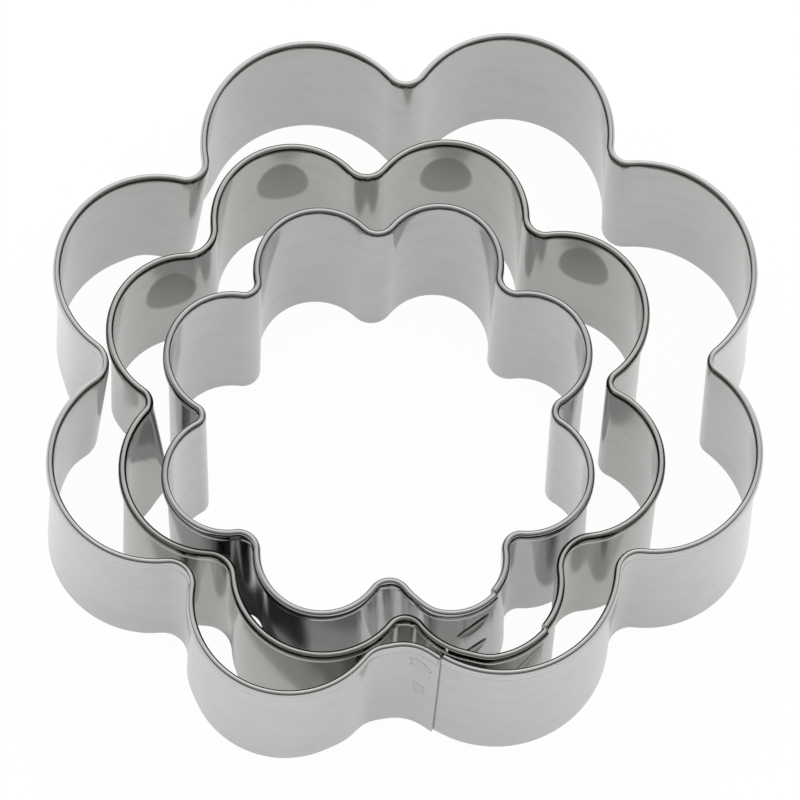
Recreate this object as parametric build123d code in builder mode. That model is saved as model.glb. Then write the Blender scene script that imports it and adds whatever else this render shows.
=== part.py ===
"""Nested set of three flower-shaped dough cutters.

Each cutter is one stainless strip that stands on edge. It is bent into eight petals, its top edge is
folded outwards into a hem that is kind to the hand, and its two ends are lapped and spot welded. The
bottom edge is the plain sheet, and it cuts. The cutters lie loosely inside each other on one table.

The origin is on the table, in the middle of the outer cutter. +Z is up, and -Y is the side of the seams.
"""
from build123d import *
import os
from math import atan2, cos, degrees, hypot, radians, sin, sqrt

os.makedirs("parts", exist_ok=True)

# The strip, in millimetres
sheet = 0.3
hem_gap = 0.3
hem_depth = 2.2
hem_round = 0.4

# The lap where a strip's ends meet: the outer end is cranked outwards and lies over the inner one
lap_length = 6.0
lap_gap = 0.05
crank_length = 3.0
hem_end_gap = 0.3

# The two spot welds of each lap: slanted ovals through both layers, a little below their faces
weld_length = 5.0
weld_width = 2.2
weld_slant = 55.0
weld_inset = 2.2
weld_height_shares = (0.43, 0.72)

# Each smaller cutter is pushed towards the seams until it almost touches the next larger one
middle_clearance = 0.22
inner_clearance = 0.3
middle_slide_bearing = -110.0
inner_slide_bearing = -98.0
slide_halvings = 12

# The petals of a flower stand in the order in which the strip runs, counterclockwise from the one with
# the seam. Each petal's hub lies at its share of the reach and a turn in degrees away from its even
# bearing, its radius is a share of half the even spacing of the hubs, and the notch that follows it has
# its share of the notch radius. The bends were made by hand, so the petals differ. The reach of a smaller
# cutter is a step less than that of the next larger one.
outer_height = 25.4
outer_centre_x = -0.61
outer_centre_y = 0.15
outer_reach = 29.0
outer_notch_radius = 2.75
outer_bearing = -62.5
outer_seam_angle = -117.5
outer_weld_dent = 0.01
outer_reach_shares = (0.90, 1.02, 0.99, 1.025, 0.955, 1.005, 1.03, 1.07)
outer_petal_shares = (1.115, 1.033, 1.105, 1.002, 1.033, 0.966, 1.012, 0.926)
outer_notch_shares = (1.05, 0.7, 0.9, 1.0, 0.95, 1.1, 1.1, 2.2)
outer_turns = (2, 1.5, -0.5, -1.5, -1.5, 1, 1, -2)

middle_height = 25.4
middle_reach_step = 6.4
middle_notch_radius = 2.75
middle_bearing = -59.3
middle_seam_angle = -35.5
middle_weld_dent = 0.01
middle_reach_shares = (1.07, 1.015, 0.975, 0.98, 1.02, 1.02, 0.935, 0.97)
middle_petal_shares = (0.952, 0.977, 1.022, 0.977, 0.957, 0.967, 1.098, 1.078)
middle_notch_shares = (1.5, 0.65, 0.95, 1.1, 1.35, 0.75, 1.2, 0.9)
middle_turns = (0, -0.5, 0.5, 1, 0.5, 0, -1.5, 0)

inner_height = 28.0
inner_reach_step = 4.5
inner_notch_radius = 2.25
inner_bearing = -62.1
inner_seam_angle = -37.0
inner_weld_dent = 0.08
inner_reach_shares = (1.03, 0.97, 0.98, 1.04, 1.0, 0.975, 1.025, 0.98)
inner_petal_shares = (0.824, 0.968, 0.931, 0.908, 0.936, 0.978, 0.917, 0.964)
inner_notch_shares = (0.95, 0.85, 1.1, 1.15, 0.9, 0.7, 1.1, 1.15)
inner_turns = (1, -2, 0.5, 1, -1.5, 0, 0.5, 0)

# What follows from them. The hem is two sheets and the gap between them, closed by a fold on top.
hem = 2 * sheet + hem_gap
fold_height = hem / 2
lap_step = sheet + lap_gap
middle_reach = outer_reach - middle_reach_step
inner_reach = middle_reach - inner_reach_step


def bearing_of(start, end):
    """The direction from one point to another, in degrees."""
    return degrees(atan2(end[1] - start[1], end[0] - start[0]))


def notch_hub(petal, next_petal, notch_radius):
    """Centre of the notch arc that touches two neighbouring petals, each given as its hub and radius."""
    (x, y), petal_radius = petal
    (next_x, next_y), next_radius = next_petal
    apart = hypot(next_x - x, next_y - y)
    along_x, along_y = (next_x - x) / apart, (next_y - y) / apart
    reach, next_reach = petal_radius + notch_radius, next_radius + notch_radius
    along = (apart**2 + reach**2 - next_reach**2) / (2 * apart)
    out = sqrt(reach**2 - along**2)
    return x + along * along_x + out * along_y, y + along * along_y - out * along_x


def flower(centre, reach, notch, bearing, seam, reach_shares, petal_shares, notch_shares, turns):
    """The inner face of a strip seen from above, as arcs (hub, radius, start angle, sweep) from its seam.

    Petal arcs turn counterclockwise. The notch arcs between them turn clockwise and touch both petals.
    """
    count = len(reach_shares)
    half_spacing = reach * sin(radians(180 / count))
    petals = []
    for number in range(count):
        angle = radians(bearing + number * 360 / count + turns[number])
        distance = reach * reach_shares[number]
        hub = (centre[0] + distance * cos(angle), centre[1] + distance * sin(angle))
        petals.append((hub, half_spacing * petal_shares[number]))
    notches = []
    for number in range(count):
        notch_radius = notch * notch_shares[number]
        hub = notch_hub(petals[number], petals[(number + 1) % count], notch_radius)
        notches.append((hub, notch_radius))
    arcs = []
    for number in range(count):
        hub, petal_radius = petals[number]
        next_hub = petals[(number + 1) % count][0]
        before = notches[number - 1][0]
        after, notch_radius = notches[number]
        start, end = bearing_of(hub, before), bearing_of(hub, after)
        arcs.append((hub, petal_radius, start, (end - start) % 360))
        start, end = bearing_of(after, hub), bearing_of(after, next_hub)
        arcs.append((after, notch_radius, start, (end - start) % 360 - 360))
    hub, petal_radius, start, sweep = arcs[0]
    before_seam = min((seam - start) % 360, sweep)
    first = (hub, petal_radius, start + before_seam, sweep - before_seam)
    last = (hub, petal_radius, start, before_seam)
    return [first] + arcs[1:] + [last]


def arc_length(arc):
    """The length of an arc (hub, radius, start angle, sweep)."""
    return arc[1] * radians(abs(arc[3]))


def length_around(arcs):
    """The length of a flower's whole outline."""
    return sum(arc_length(arc) for arc in arcs)


def stretch(arcs, start, stop):
    """The arcs between two places on a flower, each its distance past the seam along the inner face."""
    if start < 0:
        around = length_around(arcs)
        return stretch(arcs, around + start, around) + stretch(arcs, 0, stop)
    pieces = []
    here = 0
    for hub, radius, angle, sweep in arcs:
        length = arc_length((hub, radius, angle, sweep))
        low, high = max(start, here), min(stop, here + length)
        if low < high:
            low_angle = angle + sweep * (low - here) / length
            pieces.append((hub, radius, low_angle, sweep * (high - low) / length))
        here += length
    return pieces


def widened(arc, outward):
    """The same arc, moved outwards from the flower: a petal's radius grows and a notch's shrinks."""
    hub, radius, angle, sweep = arc
    return hub, radius + outward if sweep > 0 else radius - outward, angle, sweep


def face_lines(arcs, first, outward):
    """One face of the strip from a place past the seam, round and over the lap, and its end points."""
    around = length_around(arcs)
    body = [widened(arc, outward) for arc in stretch(arcs, first, around - lap_length - crank_length)]
    over = [widened(arc, outward + lap_step) for arc in stretch(arcs, around - lap_length, around)]
    run = [CenterArc(*arc) for arc in body]
    end = [CenterArc(*arc) for arc in over]
    Spline(run[-1] @ 1, end[0] @ 0, tangents=(run[-1] % 1, end[0] % 0))
    return run[0] @ 0, end[-1] @ 1


def strip_lines(arcs, first, low, high):
    """Outline of the whole strip from a first place on, between two distances from its inner face."""
    start_low, end_low = face_lines(arcs, first, low)
    start_high, end_high = face_lines(arcs, first, high)
    Line(start_low, start_high)
    Line(end_low, end_high)


def lap_lines(arcs, start, stop, low, high):
    """Outline of a band beside the inner face, between two places near the seam."""
    inside = [CenterArc(*widened(arc, low)) for arc in stretch(arcs, start, stop)]
    outside = [CenterArc(*widened(arc, high)) for arc in stretch(arcs, start, stop)]
    Line(inside[0] @ 0, outside[0] @ 0)
    Line(inside[-1] @ 1, outside[-1] @ 1)


def hem_sketch(arcs):
    """The hem seen from above."""
    with BuildSketch() as sketch:
        with BuildLine():
            strip_lines(arcs, hem_end_gap, 0, hem)
        make_face()
    return sketch.sketch


def wall_sketch(arcs):
    """The strip's plain wall seen from above."""
    with BuildSketch() as sketch:
        with BuildLine():
            strip_lines(arcs, -lap_length, 0, sheet)
        make_face()
    return sketch.sketch


def slide(mover, bearing, fixed, clearance, farthest):
    """How far a cutter is pushed along a bearing before it comes within the clearance of the larger one."""
    step_x, step_y = cos(radians(bearing)), sin(radians(bearing))
    near, far = 0, farthest
    for _ in range(slide_halvings):
        halfway = (near + far) / 2
        pushed = mover.moved(Location((halfway * step_x, halfway * step_y)))
        if pushed.distance_to(fixed) > clearance:
            near = halfway
        else:
            far = halfway
    return near * step_x, near * step_y


def weld_plane(arcs):
    """An upright plane on the inner face under the welds. It faces outwards, with its y axis up."""
    around = length_around(arcs)
    hub, radius, angle, sweep = stretch(arcs, around - weld_inset, around)[0]
    away_x, away_y = cos(radians(angle)), sin(radians(angle))
    facing = 1 if sweep > 0 else -1
    place = (hub[0] + radius * away_x, hub[1] + radius * away_y, 0)
    outwards = (facing * away_x, facing * away_y, 0)
    return Plane(place, x_dir=(-outwards[1], outwards[0], 0), z_dir=outwards)


# The three flowers, the smaller two each placed against the next larger one
outer_centre = (outer_centre_x, outer_centre_y)
outer_arcs = flower(
    outer_centre, outer_reach, outer_notch_radius, outer_bearing, outer_seam_angle,
    outer_reach_shares, outer_petal_shares, outer_notch_shares, outer_turns)

middle_shape = (
    middle_reach, middle_notch_radius, middle_bearing, middle_seam_angle,
    middle_reach_shares, middle_petal_shares, middle_notch_shares, middle_turns)
push_x, push_y = slide(
    hem_sketch(flower(outer_centre, *middle_shape)), middle_slide_bearing,
    wall_sketch(outer_arcs), middle_clearance, middle_reach_step)
middle_centre = (outer_centre[0] + push_x, outer_centre[1] + push_y)
middle_arcs = flower(middle_centre, *middle_shape)

inner_shape = (
    inner_reach, inner_notch_radius, inner_bearing, inner_seam_angle,
    inner_reach_shares, inner_petal_shares, inner_notch_shares, inner_turns)
push_x, push_y = slide(
    hem_sketch(flower(middle_centre, *inner_shape)), inner_slide_bearing,
    wall_sketch(middle_arcs), inner_clearance, inner_reach_step)
inner_centre = (middle_centre[0] + push_x, middle_centre[1] + push_y)
inner_arcs = flower(inner_centre, *inner_shape)
print("centres of the middle and the inner cutter:", middle_centre, inner_centre)

cutters = (
    ("outer", outer_arcs, outer_height, outer_weld_dent),
    ("middle", middle_arcs, middle_height, middle_weld_dent),
    ("inner", inner_arcs, inner_height, inner_weld_dent),
)
for cutter, arcs, height, weld_dent in cutters:
    around = length_around(arcs)
    weld_places = [(0, height * share) for share in weld_height_shares]

    # The fold that closes the hem, with round shoulders along both sides
    with BuildPart() as fold:
        with BuildSketch(Plane.XY.offset(height - fold_height)):
            with BuildLine():
                strip_lines(arcs, hem_end_gap, 0, hem)
            make_face()
        extrude(amount=fold_height)
        top = fold.faces().sort_by(Axis.Z)[-1]
        fillet([edge for edge in top.edges() if edge.geom_type != GeomType.LINE], radius=hem_round)

    with BuildPart() as strip:
        with BuildSketch():
            with BuildLine():
                strip_lines(arcs, -lap_length, 0, sheet)
            make_face()
        extrude(amount=height - fold_height)
        # The inner end of the lap has no hem: it stands up plainly behind the outer one's fold
        with BuildSketch(Plane.XY.offset(height - fold_height)):
            with BuildLine():
                lap_lines(arcs, -lap_length, hem_end_gap, 0, sheet)
            make_face()
        extrude(amount=fold_height)
        # The hem's outer leaf hangs down outside the wall
        with BuildSketch(Plane.XY.offset(height - hem_depth)):
            with BuildLine():
                strip_lines(arcs, hem_end_gap, sheet + hem_gap, hem)
            make_face()
        extrude(amount=hem_depth - fold_height)
        add(fold.part)
        with BuildSketch(weld_plane(arcs)):
            with Locations(*weld_places):
                SlotOverall(weld_length, weld_width, rotation=weld_slant)
        extrude(amount=2 * hem, both=True, mode=Mode.SUBTRACT)
    strip.part.label = f"{cutter}_strip"
    export_step(strip.part, f"parts/{cutter}_strip.step")

    # The welds, where both layers are melted together
    with BuildPart() as welds:
        with BuildSketch():
            with BuildLine():
                lap_lines(arcs, around - lap_length, around, weld_dent, lap_step + sheet - weld_dent)
            make_face()
        extrude(amount=height)
        with BuildSketch(weld_plane(arcs)):
            with Locations(*weld_places):
                SlotOverall(weld_length, weld_width, rotation=weld_slant)
        extrude(amount=2 * hem, both=True, mode=Mode.INTERSECT)
    welds.part.label = f"{cutter}_spot_welds"
    export_step(welds.part, f"parts/{cutter}_spot_welds.step")
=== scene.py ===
# %% [markdown]
# # A nested set of three flower cutters
#
# Each cutter is one strip of thin stainless steel that stands on edge. Its top edge is folded outwards
# into a hem, it is bent into eight petals, and its ends are lapped and spot welded. This script models
# the three strips and their welds around the fixed frame, gives them their finish and lights them.

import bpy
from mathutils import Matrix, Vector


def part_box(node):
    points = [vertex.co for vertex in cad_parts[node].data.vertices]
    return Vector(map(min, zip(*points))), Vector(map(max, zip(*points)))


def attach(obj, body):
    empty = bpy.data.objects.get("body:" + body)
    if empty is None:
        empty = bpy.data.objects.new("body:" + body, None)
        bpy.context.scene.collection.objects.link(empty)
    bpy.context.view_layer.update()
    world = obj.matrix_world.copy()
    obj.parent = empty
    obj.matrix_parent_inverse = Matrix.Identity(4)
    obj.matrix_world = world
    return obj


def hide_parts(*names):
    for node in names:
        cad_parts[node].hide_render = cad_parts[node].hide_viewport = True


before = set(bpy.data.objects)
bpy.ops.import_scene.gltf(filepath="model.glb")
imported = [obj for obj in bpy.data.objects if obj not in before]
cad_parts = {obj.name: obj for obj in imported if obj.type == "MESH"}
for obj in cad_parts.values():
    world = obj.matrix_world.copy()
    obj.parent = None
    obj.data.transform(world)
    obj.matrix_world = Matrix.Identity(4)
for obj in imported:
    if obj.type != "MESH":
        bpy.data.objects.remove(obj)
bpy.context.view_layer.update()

# %% [markdown]
# ## The camera
#
# The camera comes first, because everything else is judged through it. It looks down steeply from the
# front, so the bearings below place it: how high it stands above the horizon, how far the picture is
# rolled, and how far away it is. A long lens keeps the upright walls almost parallel.

# %% Place the camera
import math
import bmesh
import bpy
from mathutils import Matrix, Vector

mm = 0.001
picture_width = 800
focal_length_pixels = 12388
camera_elevation = math.radians(70.0)
camera_roll = math.radians(4.68)
camera_distance = 1400 * mm
looks_at = Vector((-0.49 * mm, 4.62 * mm, 0))

backwards = Vector((0, -math.cos(camera_elevation), math.sin(camera_elevation)))
level = Vector((1, 0, 0))
upwards = backwards.cross(level)
rightwards = math.cos(camera_roll) * level + math.sin(camera_roll) * upwards
upwards = math.cos(camera_roll) * upwards - math.sin(camera_roll) * level

camera_data = bpy.data.cameras.new("camera")
camera_data.lens = focal_length_pixels / picture_width * camera_data.sensor_width
camera_data.clip_end = 10
camera = bpy.data.objects.new("camera", camera_data)
bpy.context.scene.collection.objects.link(camera)
camera.matrix_world = Matrix((rightwards, upwards, backwards)).transposed().to_4x4()
camera.location = looks_at + backwards * camera_distance
bpy.context.scene.camera = camera
bpy.context.scene.view_settings.view_transform = "Standard"
print("lens:", round(camera_data.lens), "mm")

# %% [markdown]
# ## The sizes of the strip
#
# All three cutters are bent from the same thin sheet. The hem is the sheet folded back over a small
# gap, so it is two sheets and that gap thick. At the seam the outer end of the strip is cranked outwards
# and lies over the plain inner end.

# %% Name the strip's sizes
sheet = 0.3 * mm
hem_gap = 0.3 * mm
hem = 2 * sheet + hem_gap
hem_depth = 2.2 * mm
edge_round = 0.06 * mm

# The fold rises higher than half a round would, and the leaf below it leans back towards the wall.
fold_rise = 0.75 * mm
hem_lean = 0.14 * mm

lap_length = 6.0 * mm
lap_gap = 0.05 * mm
lap_step = sheet + lap_gap
crank_length = 3.0 * mm

# The hem's two ends don't quite meet, and the top of the inner end is snipped off to pass under the hem.
hem_end_gap = 0.3 * mm
end_snip = 2.5 * mm

# How finely the strip is divided. The support rows keep smooth shading from spilling over an edge.
support = 0.25 * mm
crank_bit = 0.25 * mm
petal_bit = math.radians(4)
notch_bit = math.radians(7)
fold_bits = 12
wall_rows = 6
print("hem thickness:", round(hem / mm, 2), "mm, lap step:", round(lap_step / mm, 2), "mm")

# %% [markdown]
# ## The flower seen from above
#
# The outline is a chain of arcs. Eight petal arcs turn one way, and the small notch arcs between them
# turn the other way and touch both neighbours, so the line has no corner. The bends were made by hand,
# so every petal has its own share of the reach, of the even petal radius and of the notch radius.

# %% Tables of the three flowers
# Petals are counted counterclockwise from the one with the seam. The reach is how far a petal's hub lies
# from the flower's centre. Petals are spaced evenly from the bearing on, each with a small turn of its
# own, and the seam is an angle on its petal. Angles are in degrees.
flowers = {
    "outer": {
        "height": 25.4 * mm, "reach": 29.0 * mm, "notch": 2.75 * mm, "bearing": -62.5, "seam": -117.5,
        "reach_shares": (0.90, 1.02, 0.99, 1.025, 0.955, 1.005, 1.03, 1.07),
        "petal_shares": (1.115, 1.033, 1.105, 1.002, 1.033, 0.966, 1.012, 0.926),
        "notch_shares": (1.05, 0.7, 0.9, 1.0, 0.95, 1.1, 1.1, 2.2),
        "turns": (2, 1.5, -0.5, -1.5, -1.5, 1, 1, -2),
    },
    "middle": {
        "height": 25.4 * mm, "reach": 22.6 * mm, "notch": 2.75 * mm, "bearing": -59.3, "seam": -35.5,
        "reach_shares": (1.07, 1.015, 0.975, 0.98, 1.02, 1.02, 0.935, 0.97),
        "petal_shares": (0.952, 0.977, 1.022, 0.977, 0.957, 0.967, 1.098, 1.078),
        "notch_shares": (1.5, 0.65, 0.95, 1.1, 1.35, 0.75, 1.2, 0.9),
        "turns": (0, -0.5, 0.5, 1, 0.5, 0, -1.5, 0),
    },
    "inner": {
        "height": 28.0 * mm, "reach": 18.1 * mm, "notch": 2.25 * mm, "bearing": -62.1, "seam": -37.0,
        "reach_shares": (1.03, 0.97, 0.98, 1.04, 1.0, 0.975, 1.025, 0.98),
        "petal_shares": (0.824, 0.968, 0.931, 0.908, 0.936, 0.978, 0.917, 0.964),
        "notch_shares": (0.95, 0.85, 1.1, 1.15, 0.9, 0.7, 1.1, 1.15),
        "turns": (1, -2, 0.5, 1, -1.5, 0, 0.5, 0),
    },
}
print("petals:", {name: len(table["turns"]) for name, table in flowers.items()})

# %% [markdown]
# The next cell turns a table into arcs. An arc is its hub, its radius, the angle at which it starts and
# the angle it sweeps. That is just what the spin tool needs: a centre to spin about and an angle to spin
# through.

# %% Work out the arcs
def bearing_of(start, end):
    """The direction from one point to another, as an angle."""
    return math.atan2(end.y - start.y, end.x - start.x)


def away(angle):
    """The level direction at an angle."""
    return Vector((math.cos(angle), math.sin(angle), 0))


def notch_hub(petal, next_petal, notch_radius):
    """Centre of the notch arc that touches two neighbouring petals, each given as its hub and radius."""
    between = next_petal[0] - petal[0]
    apart = between.length
    reach = petal[1] + notch_radius
    next_reach = next_petal[1] + notch_radius
    along = (apart**2 + reach**2 - next_reach**2) / (2 * apart)
    out = math.sqrt(reach**2 - along**2)
    direction = between / apart
    return petal[0] + along * direction + out * Vector((direction.y, -direction.x, 0))


def flower_petals(table):
    """Hub and radius of each petal, around a flower centre at the origin."""
    count = len(table["turns"])
    half_spacing = table["reach"] * math.sin(math.pi / count)
    petals = []
    for number in range(count):
        angle = math.radians(table["bearing"] + number * 360 / count + table["turns"][number])
        hub = table["reach"] * table["reach_shares"][number] * away(angle)
        petals.append((hub, half_spacing * table["petal_shares"][number]))
    return petals


def flower_arcs(table, centre):
    """The strip's inner face as arcs (hub, radius, start, sweep), all the way round from the seam."""
    petals = [(hub + centre, radius) for hub, radius in flower_petals(table)]
    count = len(petals)
    notches = []
    for number in range(count):
        radius = table["notch"] * table["notch_shares"][number]
        notches.append((notch_hub(petals[number], petals[(number + 1) % count], radius), radius))
    turn = 2 * math.pi
    arcs = []
    for number in range(count):
        hub, radius = petals[number]
        notch, notch_radius = notches[number]
        start, end = bearing_of(hub, notches[number - 1][0]), bearing_of(hub, notch)
        arcs.append((hub, radius, start, (end - start) % turn))
        start, end = bearing_of(notch, hub), bearing_of(notch, petals[(number + 1) % count][0])
        arcs.append((notch, notch_radius, start, (end - start) % turn - turn))
    hub, radius, start, sweep = arcs[0]
    before_seam = (math.radians(table["seam"]) - start) % turn
    first = (hub, radius, start + before_seam, sweep - before_seam)
    return [first] + arcs[1:] + [(hub, radius, start, before_seam)]

# %% [markdown]
# The crank and the lap are placed by their distance along the strip, so two helpers measure along a chain
# of arcs and cut a stretch out of it.

# %% Measure along the arcs
def length_around(arcs):
    """The length of a chain of arcs."""
    return sum(radius * abs(sweep) for hub, radius, start, sweep in arcs)


def stretch(arcs, start, stop):
    """The arcs between two places, each given as its distance past the seam."""
    if start < 0:
        around = length_around(arcs)
        return stretch(arcs, around + start, around) + stretch(arcs, 0, stop)
    pieces = []
    here = 0
    for hub, radius, angle, sweep in arcs:
        length = radius * abs(sweep)
        low, high = max(start, here), min(stop, here + length)
        if low < high:
            low_angle = angle + sweep * (low - here) / length
            pieces.append((hub, radius, low_angle, sweep * (high - low) / length))
        here += length
    return pieces


# %% [markdown]
# The frame says where each cutter stands. The right and the far side of a strip's box are touched by its
# hem on a petal, so the flower's centre follows from the box and the petals.

# %% Find the three centres
def flower_centre(name):
    """Where the centre of a cutter's flower lies, from the box of its strip in the frame."""
    corner = Vector(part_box(f"{name}_strip")[1])
    petals = flower_petals(flowers[name])
    farthest_x = max(hub.x + radius for hub, radius in petals) + hem
    farthest_y = max(hub.y + radius for hub, radius in petals) + hem
    return Vector((corner.x - farthest_x, corner.y - farthest_y, 0))


centres = {name: flower_centre(name) for name in flowers}
arcs_of = {name: flower_arcs(flowers[name], centres[name]) for name in flowers}
for name in flowers:
    print(name, "centre in mm:", [round(value / mm, 3) for value in centres[name][:2]])

# %% [markdown]
# ## Modelling the strips
#
# The strip could be a curve with a bevel, but then its fold and its lap would be hard to place. Here its
# cross section is drawn once, as a maker would: a plane is the wall, its top edge is spun over by half a
# turn to make the fold, and the fold's end is extruded downwards into the hem's leaf. Then the whole
# section is spun about one hub after the other, which lays it along the flower.

# %% Helpers for modelling
VERTICES, EDGES, FACES = range(3)
tiny = 0.001 * mm
smooth_below = math.radians(40)


def start_clean():
    """Leaves edit mode and deselects everything, so that an operator acts only on what is new."""
    if bpy.context.object and bpy.context.object.mode != "OBJECT":
        bpy.ops.object.mode_set(mode="OBJECT")
    bpy.ops.object.select_all(action="DESELECT")


def pick(piece, kind, wanted):
    """Selects, in edit mode, the vertices, edges or faces whose middle passes a test."""
    modes = ("VERT", "EDGE", "FACE")
    bpy.ops.mesh.select_mode(type=modes[kind])
    bpy.ops.mesh.select_all(action="DESELECT")
    mesh = bmesh.from_edit_mesh(piece.data)
    for element in (mesh.verts, mesh.edges, mesh.faces)[kind]:
        if kind == VERTICES:
            middle = element.co
        else:
            middle = sum((corner.co for corner in element.verts), Vector()) / len(element.verts)
        if wanted(middle):
            element.select_set(True)
    mesh.select_flush_mode()
    bmesh.update_edit_mesh(piece.data)


# %% Draw the cross section
def draw_section(name, height):
    """A strip's section in the XZ plane. X is the distance outwards from the inner face."""
    start_clean()
    wall_top = height - fold_rise
    bpy.ops.mesh.primitive_plane_add(
        size=1, rotation=(math.pi / 2, 0, 0), location=(sheet / 2, 0, wall_top / 2))
    strip = bpy.context.object
    strip.name = name
    strip.data.name = name
    strip.scale = (sheet, wall_top, 1)
    bpy.ops.object.transform_apply(location=True, rotation=True, scale=True)
    bpy.ops.object.mode_set(mode="EDIT")
    pick(strip, EDGES, lambda middle: abs(middle.z - wall_top / 2) < tiny)
    bpy.ops.mesh.subdivide(number_cuts=wall_rows - 1)
    for level in (support, height - end_snip, wall_top - support):
        bpy.ops.mesh.select_all(action="SELECT")
        bpy.ops.mesh.bisect(plane_co=(0, 0, level), plane_no=(0, 0, 1))
    pick(strip, EDGES, lambda middle: middle.z > wall_top - tiny)
    bpy.ops.mesh.spin(steps=fold_bits, angle=-math.pi, center=(hem / 2, 0, wall_top), axis=(0, 1, 0))
    pick(strip, VERTICES, lambda place: place.z > wall_top + tiny)
    bpy.ops.transform.resize(value=(1, 1, fold_rise / (hem / 2)), center_override=(0, 0, wall_top))
    pick(strip, EDGES, lambda middle: middle.x > hem - sheet - tiny and abs(middle.z - wall_top) < tiny)
    leaf_length = hem_depth - fold_rise
    half = leaf_length / 2 - support
    for drop, lean in ((support, 0), (half, 0), (half, hem_lean), (support, 0)):
        bpy.ops.mesh.extrude_region_move(TRANSFORM_OT_translate={"value": (-lean, 0, -drop)})
    leaf_end = wall_top - leaf_length

    def sharp_corner(place):
        """Whether a corner belongs to the cutting edge or to the end of the hem's leaf."""
        return place.z < tiny or (place.x > sheet + tiny and place.z < leaf_end + tiny)

    pick(strip, VERTICES, sharp_corner)
    bpy.ops.mesh.bevel(offset=edge_round, segments=2, affect="VERTICES")
    return strip


# %% Lay the section along the flower
def swing(hub, sweep, steps):
    """Spins what is selected about an upright axis through a hub, counterclockwise if sweep is positive."""
    bpy.ops.mesh.spin(steps=steps, angle=-sweep, center=hub, axis=(0, 0, 1))


def follow(arcs):
    """Spins what is selected along a chain of arcs."""
    for hub, radius, angle, sweep in arcs:
        bit = petal_bit if sweep > 0 else notch_bit
        swing(hub, sweep, max(1, math.ceil(abs(sweep) / bit)))


def follow_crank(arcs):
    """Spins what is selected along arcs and moves it outwards on the way, onto the strip's other end."""
    done = 0
    moved = 0
    for hub, radius, angle, sweep in arcs:
        bits = max(1, math.ceil(radius * abs(sweep) / crank_bit))
        for number in range(bits):
            swing(hub, sweep / bits, 1)
            done += radius * abs(sweep) / bits / crank_length
            goal = lap_step * (3 * done**2 - 2 * done**3)
            outwards = away(angle + sweep * (number + 1) / bits) * (1 if sweep > 0 else -1)
            bpy.ops.transform.translate(value=outwards * (goal - moved))
            moved = goal

# %% [markdown]
# The section starts at the seam and is laid in three goes: the long run, the crank, and the lap. The plain
# inner end under the lap has no hem, so only the wall's end face below the snip is spun back there. Spin
# can turn a shape inside out, so the doubles are merged and the normals recalculated at the end.

# %% Model the three strips
def model_strip(name):
    """The whole strip of one cutter, modelled in place."""
    height = flowers[name]["height"]
    arcs = arcs_of[name]
    around = length_around(arcs)
    strip = draw_section(f"{name}_cutter_strip", height)
    bpy.ops.object.mode_set(mode="OBJECT")
    hub, radius, angle, sweep = stretch(arcs, hem_end_gap, around)[0]
    start = hub + radius * away(angle)
    strip.rotation_euler.z = angle
    strip.location = start
    bpy.ops.object.transform_apply(location=True, rotation=True, scale=True)
    bpy.ops.object.mode_set(mode="EDIT")
    bpy.ops.mesh.select_mode(type="FACE")
    bpy.ops.mesh.select_all(action="SELECT")
    follow(stretch(arcs, hem_end_gap, around - lap_length - crank_length))
    follow_crank(stretch(arcs, around - lap_length - crank_length, around - lap_length))
    follow(stretch(arcs, around - lap_length, around))

    def plain_end(middle):
        """Whether a face belongs to the wall's end, below the snip."""
        along = (middle - start).dot(away(angle + math.pi / 2))
        out = (middle - start).dot(away(angle))
        return abs(along) < tiny and 0 < out < sheet and middle.z < height - end_snip

    pick(strip, FACES, plain_end)
    for hub, radius, angle_back, sweep in reversed(stretch(arcs, -lap_length, hem_end_gap)):
        swing(hub, -sweep, max(1, math.ceil(abs(sweep) / petal_bit)))
    bpy.ops.mesh.select_all(action="SELECT")
    bpy.ops.mesh.remove_doubles(threshold=tiny)
    bpy.ops.mesh.normals_make_consistent(inside=False)
    bpy.ops.object.mode_set(mode="OBJECT")
    bpy.ops.object.shade_smooth_by_angle(angle=smooth_below)
    print(strip.name, "faces:", len(strip.data.polygons))
    return strip


strips = {name: model_strip(name) for name in flowers}

# %% [markdown]
# The strips were bent by hand, so a lower edge isn't exactly under its rim. Each row of the wall is
# shifted, turned and widened a little, from nothing at the hem to the full amount at the cutting edge.
# A lattice could do this too, but it would be harder to stop at the hem.

# %% Let the cutting edges wander
edge_shifts = {
    "outer": (0.09 * mm, 0, 0),
    "middle": (0.15 * mm, -0.2 * mm, 0),
    "inner": (0.5 * mm, 0.25 * mm, 0),
}
edge_turns = {"outer": math.radians(-0.55), "middle": math.radians(-0.3), "inner": math.radians(1.35)}
edge_growth_shares = {"outer": 0.0086, "middle": 0, "inner": -0.006}


def wander(name, strip):
    """Moves the rows of a wall below its hem, each by its share."""
    start_clean()
    bpy.context.view_layer.objects.active = strip
    strip.select_set(True)
    centre = centres[name]
    hem_bottom = flowers[name]["height"] - hem_depth
    levels = sorted({round(vertex.co.z / tiny) for vertex in strip.data.vertices})
    bpy.ops.object.mode_set(mode="EDIT")
    for level in levels:
        share = 1 - level * tiny / hem_bottom
        if share <= 0:
            break
        pick(strip, VERTICES, lambda place: round(place.z / tiny) == level)
        # With no window, transform.rotate turns the other way, so the angle is negated.
        turn = -edge_turns[name] * share
        growth = 1 + edge_growth_shares[name] * share
        shift = Vector(edge_shifts[name]) * share
        bpy.ops.transform.rotate(value=turn, orient_axis="Z", center_override=centre)
        bpy.ops.transform.resize(value=(growth, growth, 1), center_override=centre)
        bpy.ops.transform.translate(value=shift)
    bpy.ops.object.mode_set(mode="OBJECT")


for name, strip in strips.items():
    wander(name, strip)
    print(strip.name, "lower edge turned by", round(math.degrees(edge_turns[name]), 2), "degrees")

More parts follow.
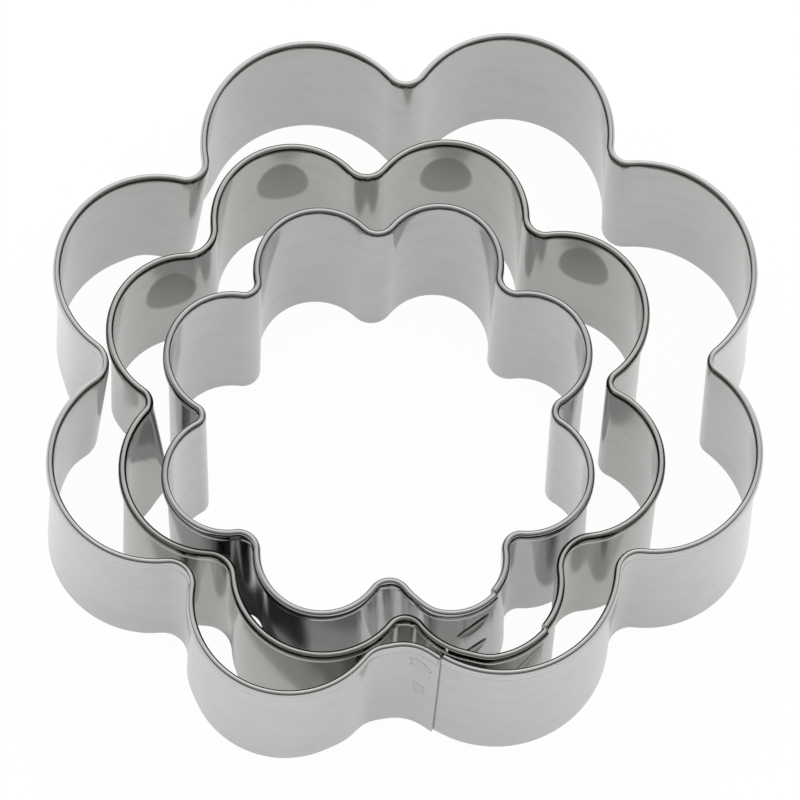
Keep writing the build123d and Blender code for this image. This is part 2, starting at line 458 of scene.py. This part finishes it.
# %% [markdown]
# At three notches on the left and at the near left petal the bend was made askew, so the wall leans there.
# By hand, proportional editing would do it. In code, a vertex group says how strongly each point is
# pushed, and a Displace modifier pushes the group. Petals and notches are both counted counterclockwise
# from 0, the petal with the seam and the notch after it.

# %% Let four bends lean
def petal_arc(number):
    """Where a petal other than the one with the seam stands in a chain of arcs."""
    return 2 * number


def notch_arc(number):
    """Where a notch stands in a chain of arcs."""
    return 2 * number + 1


# Each lean is an arc, a direction, the push at the lower edge, and the reach of the full push.
leans = {
    "outer": (
        (notch_arc(4), "X", -1.4 * mm, 3.5 * mm),
        (notch_arc(5), "X", -1.0 * mm, 3.5 * mm),
        (petal_arc(7), "Y", 0.9 * mm, 8 * mm),
        (petal_arc(7), "X", 0.3 * mm, 8 * mm),
    ),
    "middle": ((notch_arc(5), "X", 1.9 * mm, 3.5 * mm),),
    "inner": (),
}
push_fade = 6 * mm


def smooth(share):
    """A share that starts and ends gently."""
    share = min(1, max(0, share))
    return share * share * (3 - 2 * share)


def lean_bend(name, strip, arc, direction, push, core):
    """Pushes the wall sideways at one bend, from nothing at the hem to the full push at the lower edge."""
    hub, radius, start, sweep = arcs_of[name][arc]
    middle = hub + radius * away(start + sweep / 2)
    hem_bottom = flowers[name]["height"] - hem_depth
    pushed = strip.vertex_groups.new(name="pushed")
    for vertex in strip.data.vertices:
        apart = (vertex.co - middle).xy.length
        weight = smooth(1 - (apart - core) / push_fade) * max(0, 1 - vertex.co.z / hem_bottom)
        pushed.add([vertex.index], weight, "REPLACE")
    start_clean()
    bpy.context.view_layer.objects.active = strip
    lean = strip.modifiers.new("lean", "DISPLACE")
    lean.direction = direction
    lean.vertex_group = "pushed"
    lean.mid_level = 0
    lean.strength = push
    bpy.ops.object.modifier_apply(modifier="lean")
    strip.vertex_groups.clear()


for name, bends in leans.items():
    for arc, direction, push, core in bends:
        lean_bend(name, strips[name], arc, direction, push, core)
    print(name, "leans:", len(bends))

# %% [markdown]
# ## The spot welds
#
# Two welds hold each lap. The electrodes leave a slanted oval print on both faces, with a low ridge
# around it. A bump in the steel could draw the print, but its ridge catches the light, so it is a shape.
# Each print starts as a disc that is inset ring by ring. It is stretched to its size, stood up in front
# of the face and wrapped onto it, so it follows the bend of the wall. Then the rings are lifted.

# %% Name the sizes of the weld marks
weld_length = 5.6 * mm
weld_width = 2.3 * mm
weld_slant = math.radians(53)
weld_inset = 2.2 * mm
weld_height_shares = (0.43, 0.72)
mark_depth = 0.06 * mm
mark_rise = 0.015 * mm
ridge_rises = {"outer": 0.02 * mm, "middle": 0.02 * mm, "inner": 0.12 * mm}
mark_corners = 32

# The rings' widths as shares of the disc's radius, and how much of the ridge's rise each circle takes.
ring_width_shares = (0.1, 0.12, 0.18, 0.25)
ring_rise_shares = (0, 0.8, 1, 0.45, 0.1)
ring_places = [sum(ring_width_shares[:count + 1]) for count in range(len(ring_width_shares))]
print("weld print:", round(weld_length / mm, 1), "by", round(weld_width / mm, 1), "mm")

# %% Start a mark as a disc in rings
def ringed_disc():
    """A disc of radius 1, inset ring by ring, with a vertex group that says how far each point rises."""
    start_clean()
    bpy.ops.mesh.primitive_circle_add(vertices=mark_corners, radius=1, fill_type="NGON")
    disc = bpy.context.object
    bpy.ops.object.mode_set(mode="EDIT")
    for width in ring_width_shares:
        bpy.ops.mesh.inset(thickness=width)
    bpy.ops.mesh.poke()
    bpy.ops.object.mode_set(mode="OBJECT")
    rises = disc.vertex_groups.new(name="rises")
    for vertex in disc.data.vertices:
        reached = 1 - vertex.co.length
        ring = sum(1 for ring_place in ring_places if reached > ring_place - tiny)
        rises.add([vertex.index], ring_rise_shares[ring] if vertex.co.length > tiny else 0, "REPLACE")
    return disc


# %% Wrap a mark onto the wall
def weld_mark(strip, place, outwards, level, from_outside, ridge_rise):
    """One weld's print on one face of the lap, wrapped onto the strip."""
    facing = 1 if from_outside else -1
    normal = facing * outwards
    up = Vector((0, 0, 1))
    upright = Matrix((up.cross(normal), up, normal)).transposed().to_4x4()
    face = place + (lap_step if from_outside else 0) * outwards
    start = face + hem * normal + level * up
    mark = ringed_disc()
    mark.scale = (weld_length / 2, weld_width / 2, 1)
    bpy.ops.object.transform_apply(location=False, rotation=False, scale=True)
    mark.matrix_world = Matrix.Translation(start) @ upright @ Matrix.Rotation(facing * weld_slant, 4, "Z")
    wrap = mark.modifiers.new("wrap", "SHRINKWRAP")
    wrap.target = strip
    wrap.wrap_method = "PROJECT"
    wrap.use_project_z = True
    wrap.use_positive_direction = False
    wrap.use_negative_direction = True
    wrap.offset = mark_rise
    lift = mark.modifiers.new("lift", "DISPLACE")
    lift.vertex_group = "rises"
    lift.mid_level = 0
    lift.strength = ridge_rise
    thicken = mark.modifiers.new("thicken", "SOLIDIFY")
    thicken.thickness = mark_depth
    thicken.offset = -1
    for modifier in ("wrap", "lift", "thicken"):
        bpy.ops.object.modifier_apply(modifier=modifier)
    bpy.ops.object.transform_apply(location=True, rotation=True, scale=True)
    return mark


# %% Model the welds of each cutter
def model_welds(name):
    """All four marks of a cutter's two welds, as one piece."""
    arcs = arcs_of[name]
    around = length_around(arcs)
    hub, radius, angle, sweep = stretch(arcs, around - weld_inset, around)[0]
    place = hub + radius * away(angle)
    marks = []
    for share in weld_height_shares:
        level = flowers[name]["height"] * share
        for from_outside in (True, False):
            mark = weld_mark(strips[name], place, away(angle), level, from_outside, ridge_rises[name])
            marks.append(mark)
    start_clean()
    for mark in marks:
        mark.select_set(True)
    bpy.context.view_layer.objects.active = marks[0]
    bpy.ops.object.join()
    welds = bpy.context.object
    welds.name = f"{name}_weld_marks"
    welds.data.name = welds.name
    bpy.ops.object.shade_smooth_by_angle(angle=smooth_below)
    low, high = [[round(value / mm, 2) for value in welds.bound_box[corner]] for corner in (0, 6)]
    print(welds.name, "from", low, "to", high)
    return welds


weld_pieces = {name: model_welds(name) for name in flowers}

# %% [markdown]
# ## Materials
#
# A material is built from nodes. Colours are written as they look on a screen and turned to the linear
# values that the renderer works with.

# %% Helpers for materials
def to_linear(hex_colour):
    """A hex colour as linear red, green, blue and an alpha of 1."""
    values = [int(hex_colour[place:place + 2], 16) / 255 for place in (1, 3, 5)]
    linear = [value / 12.92 if value <= 0.04045 else ((value + 0.055) / 1.055) ** 2.4 for value in values]
    return (*linear, 1)


def add_node(tree, kind, inputs=None, **settings):
    """Adds a node. Its inputs are given by name or number, as values or as sockets to link from."""
    node = tree.nodes.new(kind)
    for name, value in settings.items():
        setattr(node, name, value)
    for name, value in (inputs or {}).items():
        if isinstance(value, bpy.types.NodeSocket):
            tree.links.new(value, node.inputs[name])
        else:
            node.inputs[name].default_value = value
    return node


def new_material(name):
    """A material with nothing but a Principled shader and its output."""
    material = bpy.data.materials.new(name)
    material.use_nodes = True
    return material, material.node_tree, material.node_tree.nodes["Principled BSDF"]


def per_metre(sizes):
    """How often a pattern comes in a metre, for its size each way."""
    return tuple(1 / size for size in sizes)


# %% [markdown]
# The strips are satin stainless steel. Cold rolling leaves a fine grain along the strip, a faint cloud of
# lighter and darker tone, and a sheen between mirror and matt. Handling dulls it in small scuffs. An
# image would need a seam somewhere, so noise on Object coordinates makes all of this. Each strip came off
# another coil, so the three differ a little in tone.

# %% Name the tones and patterns of the strip steel
# The lighter colour comes first.
strip_tones = {
    "outer": ("#BFBFBD", "#B5B5B3"),
    "middle": ("#BBBAB6", "#ABA9A5"),
    "inner": ("#BABABB", "#AEAEAE"),
}
# The darker tone of the scuffs, which also paints the dark reflection in the middle strip's ovals.
scuff_and_painted_reflection_tones = {"outer": "#8E8E8D", "middle": "#8E8C88", "inner": "#8C8C8D"}

# Real rolling grain is finer than a pixel, so it is drawn as coarse as it needs to be to show.
grain_size = (11.11 * mm, 11.11 * mm, 0.2857 * mm)
grain_depth = 0.002 * mm
grain_strength = 0.15
cloud_size = 7.692 * mm
scuff_size = (4.545 * mm, 4.545 * mm, 2.222 * mm)
scuff_fade = {"From Min": 0.45, "From Max": 0.8, "To Min": 0, "To Max": 0.16}
dull_to_rough = {"From Min": 0, "From Max": 1, "To Min": 0.12, "To Max": 0.3}
print("grain as drawn:", round(grain_size[2] / mm, 2), "mm wide")

# %% [markdown]
# The middle strip has a rougher and darker oval on each of its four far petals. The darker colour is a
# painted
# reflection: it stands in for the dark reflection of the inner cutter's wall that these concave petals show.
# A Mapping node moves the coordinates to the oval's middle and divides them by its size, and inside the oval
# their length is then below 1.

# %% Place the dull ovals of painted dark reflection
# Each oval is given by its petal, its angle past the petal's own bearing, and its height.
painted_reflection_ovals = {
    "outer": (),
    "middle": ((2, 44.5, 17.7 * mm), (3, 16.0, 16.4 * mm), (4, -19.7, 15.7 * mm), (5, -56.8, 16.0 * mm)),
    "inner": (),
}
painted_reflection_half_size = (3 * mm, 3.1 * mm, 5.5 * mm)
oval_fade = {"From Min": 0.86, "From Max": 1.06, "To Min": 1, "To Max": 0}


def painted_reflection_mask(tree, name, place):
    """A socket that is 1 inside a strip's ovals of painted dark reflection and 0 elsewhere."""
    table = flowers[name]
    mask = 0
    for petal, turn, height in painted_reflection_ovals[name]:
        hub, radius = flower_petals(table)[petal]
        petal_bearing = table["bearing"] + petal * 360 / len(table["turns"]) + table["turns"][petal]
        angle = math.radians(petal_bearing + turn)
        spot = centres[name] + hub + radius * away(angle) + Vector((0, 0, height))
        oval_place = add_node(
            tree, "ShaderNodeMapping",
            {"Vector": place, "Location": spot, "Rotation": (0, 0, angle), "Scale": painted_reflection_half_size},
            vector_type="TEXTURE").outputs[0]
        reached = add_node(tree, "ShaderNodeVectorMath", {0: oval_place}, operation="LENGTH").outputs["Value"]
        oval = add_node(
            tree, "ShaderNodeMapRange", {"Value": reached, **oval_fade},
            interpolation_type="SMOOTHSTEP").outputs[0]
        mask = add_node(tree, "ShaderNodeMath", {0: mask, 1: oval}, operation="MAXIMUM").outputs[0]
    return mask


print("dull ovals:", {name: len(ovals) for name, ovals in painted_reflection_ovals.items()})

# %% Mix the satin rolled stainless steel
def rolled_steel(name):
    """Cold rolled stainless steel, which gives the eye soft reflections with a faint streak along them."""
    material, tree, shader = new_material(f"satin_rolled_stainless_steel_{name}")
    shader.inputs["Metallic"].default_value = 1
    place = add_node(tree, "ShaderNodeTexCoord").outputs["Object"]
    grain_place = add_node(
        tree, "ShaderNodeMapping", {"Vector": place, "Scale": per_metre(grain_size)}).outputs[0]
    grain = add_node(
        tree, "ShaderNodeTexNoise", {"Vector": grain_place, "Scale": 1, "Detail": 3}).outputs["Fac"]
    cloud = add_node(
        tree, "ShaderNodeTexNoise", {"Vector": place, "Scale": 1 / cloud_size, "Detail": 4}).outputs["Fac"]
    scuff_place = add_node(
        tree, "ShaderNodeMapping", {"Vector": place, "Scale": per_metre(scuff_size)}).outputs[0]
    scuff_noise = add_node(
        tree, "ShaderNodeTexNoise", {"Vector": scuff_place, "Scale": 1, "Detail": 5}).outputs["Fac"]
    scuffs = add_node(tree, "ShaderNodeMapRange", {"Value": scuff_noise, **scuff_fade}).outputs[0]
    # Scuffs are wear. The ovals are rougher too, but their darker colour is painted reflection.
    scuffs_and_painted_reflections = add_node(
        tree, "ShaderNodeMath", {0: scuffs, 1: painted_reflection_mask(tree, name, place)}, operation="MAXIMUM").outputs[0]
    light, dark = [to_linear(tone) for tone in strip_tones[name]]
    clean = add_node(
        tree, "ShaderNodeMix", {"Factor": cloud, 6: dark, 7: light}, data_type="RGBA").outputs[2]
    colour = add_node(
        tree, "ShaderNodeMix",
        {"Factor": scuffs_and_painted_reflections, 6: clean, 7: to_linear(scuff_and_painted_reflection_tones[name])}, data_type="RGBA").outputs[2]
    rough = add_node(tree, "ShaderNodeMapRange", {"Value": scuffs_and_painted_reflections, **dull_to_rough}).outputs[0]
    bump = add_node(
        tree, "ShaderNodeBump",
        {"Height": grain, "Strength": grain_strength, "Distance": grain_depth}).outputs[0]
    tree.links.new(colour, shader.inputs["Base Color"])
    tree.links.new(rough, shader.inputs["Roughness"])
    tree.links.new(bump, shader.inputs["Normal"])
    return material


for name, strip in strips.items():
    strip.data.materials.clear()
    strip.data.materials.append(rolled_steel(name))
    print(strip.name, "is", strip.data.materials[0].name)

# %% [markdown]
# The weld marks are the same steel, pressed by an electrode: the grain is gone and fine pits make it
# duller. It could be the strip's material with other values, but a plain one of its own is easier to read.
# On the outer and the middle cutter the marks are almost as clean as the strip, on the inner one duller.

# %% Mix the pressed weld steel
weld_tones = {"outer": "#B4B4B3", "middle": "#A6A4A0", "inner": "#A3A29E"}
weld_roughness = {"outer": 0.2, "middle": 0.22, "inner": 0.3}
pit_size = 0.4 * mm
pit_depth = 0.02 * mm
pit_strength = 0.4


def weld_steel(name):
    """Stainless steel that an electrode has pressed, which gives the eye a dull and uneven patch."""
    material, tree, shader = new_material(f"pressed_weld_steel_{name}")
    shader.inputs["Metallic"].default_value = 1
    shader.inputs["Base Color"].default_value = to_linear(weld_tones[name])
    shader.inputs["Roughness"].default_value = weld_roughness[name]
    place = add_node(tree, "ShaderNodeTexCoord").outputs["Object"]
    pits = add_node(
        tree, "ShaderNodeTexNoise", {"Vector": place, "Scale": 1 / pit_size, "Detail": 2}).outputs["Fac"]
    bump = add_node(
        tree, "ShaderNodeBump", {"Height": pits, "Strength": pit_strength, "Distance": pit_depth}).outputs[0]
    tree.links.new(bump, shader.inputs["Normal"])
    return material


for name, welds in weld_pieces.items():
    welds.data.materials.clear()
    welds.data.materials.append(weld_steel(name))
    print(welds.name, "is", welds.data.materials[0].name)

# %% [markdown]
# Each piece is parented to the body it moves with, and the CAD node it takes the place of is hidden.

# %% Say what the pieces stand for
for name, strip in strips.items():
    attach(strip, f"{name}_cutter")
    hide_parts(f"{name}_strip")
for name, welds in weld_pieces.items():
    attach(welds, f"{name}_cutter")
    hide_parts(f"{name}_spot_welds")

# %% [markdown]
# ## Floor
#
# The set stands on a plain white floor. Lit by a lamp alone, it would be grey in the picture, so rays from
# the camera and reflections on the steel see it mostly as plain white, and the rest keeps its shadow.
# Between the near left petals of the inner and the middle cutter hardly any light reaches the floor, so
# the reflections there see an oval that isn't white.

# %% Lay the floor
floor_side = 6000 * mm
floor_colour = "#F0F0F0"
floor_roughness = 0.9
seen_share = 0.97
mirrored_share = 0.62
shade_centre = (-14 * mm, -27 * mm, 0)
shade_turn = math.radians(-63)
shade_half_size = (10 * mm, 3.2 * mm, 1)
shade_fade = {"From Min": 0.6, "From Max": 1.1, "To Min": 0, "To Max": 1}

start_clean()
bpy.ops.mesh.primitive_plane_add(size=floor_side, location=(0, 0, 0))
floor = bpy.context.object
floor.name = "floor"
material, tree, shader = new_material("matt_white_floor")
shader.inputs["Base Color"].default_value = to_linear(floor_colour)
shader.inputs["Roughness"].default_value = floor_roughness
place = add_node(tree, "ShaderNodeTexCoord").outputs["Object"]
shade_place = add_node(
    tree, "ShaderNodeMapping",
    {"Vector": place, "Location": shade_centre, "Rotation": (0, 0, shade_turn), "Scale": shade_half_size},
    vector_type="TEXTURE").outputs[0]
reached = add_node(tree, "ShaderNodeVectorMath", {0: shade_place}, operation="LENGTH").outputs["Value"]
lit = add_node(
    tree, "ShaderNodeMapRange", {"Value": reached, **shade_fade}, interpolation_type="SMOOTHSTEP").outputs[0]
rays = add_node(tree, "ShaderNodeLightPath").outputs
seen = add_node(
    tree, "ShaderNodeMath", {0: rays["Is Camera Ray"], 1: seen_share}, operation="MULTIPLY").outputs[0]
mirrored = add_node(
    tree, "ShaderNodeMath", {0: rays["Is Glossy Ray"], 1: lit}, operation="MULTIPLY").outputs[0]
white_share = add_node(
    tree, "ShaderNodeMath", {0: mirrored, 1: mirrored_share, 2: seen}, operation="MULTIPLY_ADD").outputs[0]
white = add_node(tree, "ShaderNodeEmission", {"Color": (1, 1, 1, 1), "Strength": 1}).outputs[0]
blend = add_node(
    tree, "ShaderNodeMixShader", {0: white_share, 1: shader.outputs[0], 2: white}).outputs[0]
tree.links.new(blend, tree.nodes["Material Output"].inputs["Surface"])
floor.data.materials.append(material)
print("floor:", floor_side / mm, "mm wide")

# %% [markdown]
# ## Light
#
# Steel shows what it mirrors, so the room around it matters more than a lamp: a soft tent that is dim near
# the table and in front, bright overhead and brighter still behind, where the tops of the rims pick it up.
# The camera sees plain white instead. A large soft lamp above makes the floor's shadow. Reflections don't
# see it, because it would burn out the rims.

# %% Make the room a soft tent
# Each fade says between which heights or depths of a direction the light changes, and from what to what.
overhead_fade = {"From Min": 0.15, "From Max": 0.75, "To Min": 0.3, "To Max": 1}
front_fade = {"From Min": -0.5, "From Max": 0.1, "To Min": 0.35, "To Max": 1}
back_fade = {"From Min": 0.4, "From Max": 0.85, "To Min": 0, "To Max": 0.9}

world = bpy.data.worlds.new("studio")
bpy.context.scene.world = world
world.use_nodes = True
tree = world.node_tree
direction = add_node(tree, "ShaderNodeTexCoord").outputs["Generated"]
parts = add_node(tree, "ShaderNodeSeparateXYZ", {0: direction}).outputs
overhead = add_node(
    tree, "ShaderNodeMapRange", {"Value": parts["Z"], **overhead_fade},
    interpolation_type="SMOOTHSTEP").outputs[0]
front = add_node(
    tree, "ShaderNodeMapRange", {"Value": parts["Y"], **front_fade},
    interpolation_type="SMOOTHSTEP").outputs[0]
back = add_node(
    tree, "ShaderNodeMapRange", {"Value": parts["Y"], **back_fade},
    interpolation_type="SMOOTHSTEP").outputs[0]
tent = add_node(
    tree, "ShaderNodeMath", {0: overhead, 1: front, 2: back}, operation="MULTIPLY_ADD").outputs[0]
rays = add_node(tree, "ShaderNodeLightPath").outputs
room = add_node(
    tree, "ShaderNodeMix", {"Factor": rays["Is Camera Ray"], 6: tent, 7: (1, 1, 1, 1)},
    data_type="RGBA").outputs[2]
tree.links.new(room, tree.nodes["Background"].inputs["Color"])
print("world nodes:", len(tree.nodes))

# %% Hang the soft lamp
lamp_side = 1600 * mm
lamp_watts = 8
lamp_place = (0, 100 * mm, 700 * mm)

lamp_data = bpy.data.lights.new("softbox", "AREA")
lamp_data.shape = "RECTANGLE"
lamp_data.size = lamp_side
lamp_data.size_y = lamp_side
lamp_data.energy = lamp_watts
lamp = bpy.data.objects.new("softbox", lamp_data)
bpy.context.scene.collection.objects.link(lamp)
lamp.location = lamp_place
lamp.visible_glossy = False
print("lamp:", lamp_watts, "W, at", [round(value, 2) for value in lamp.location])
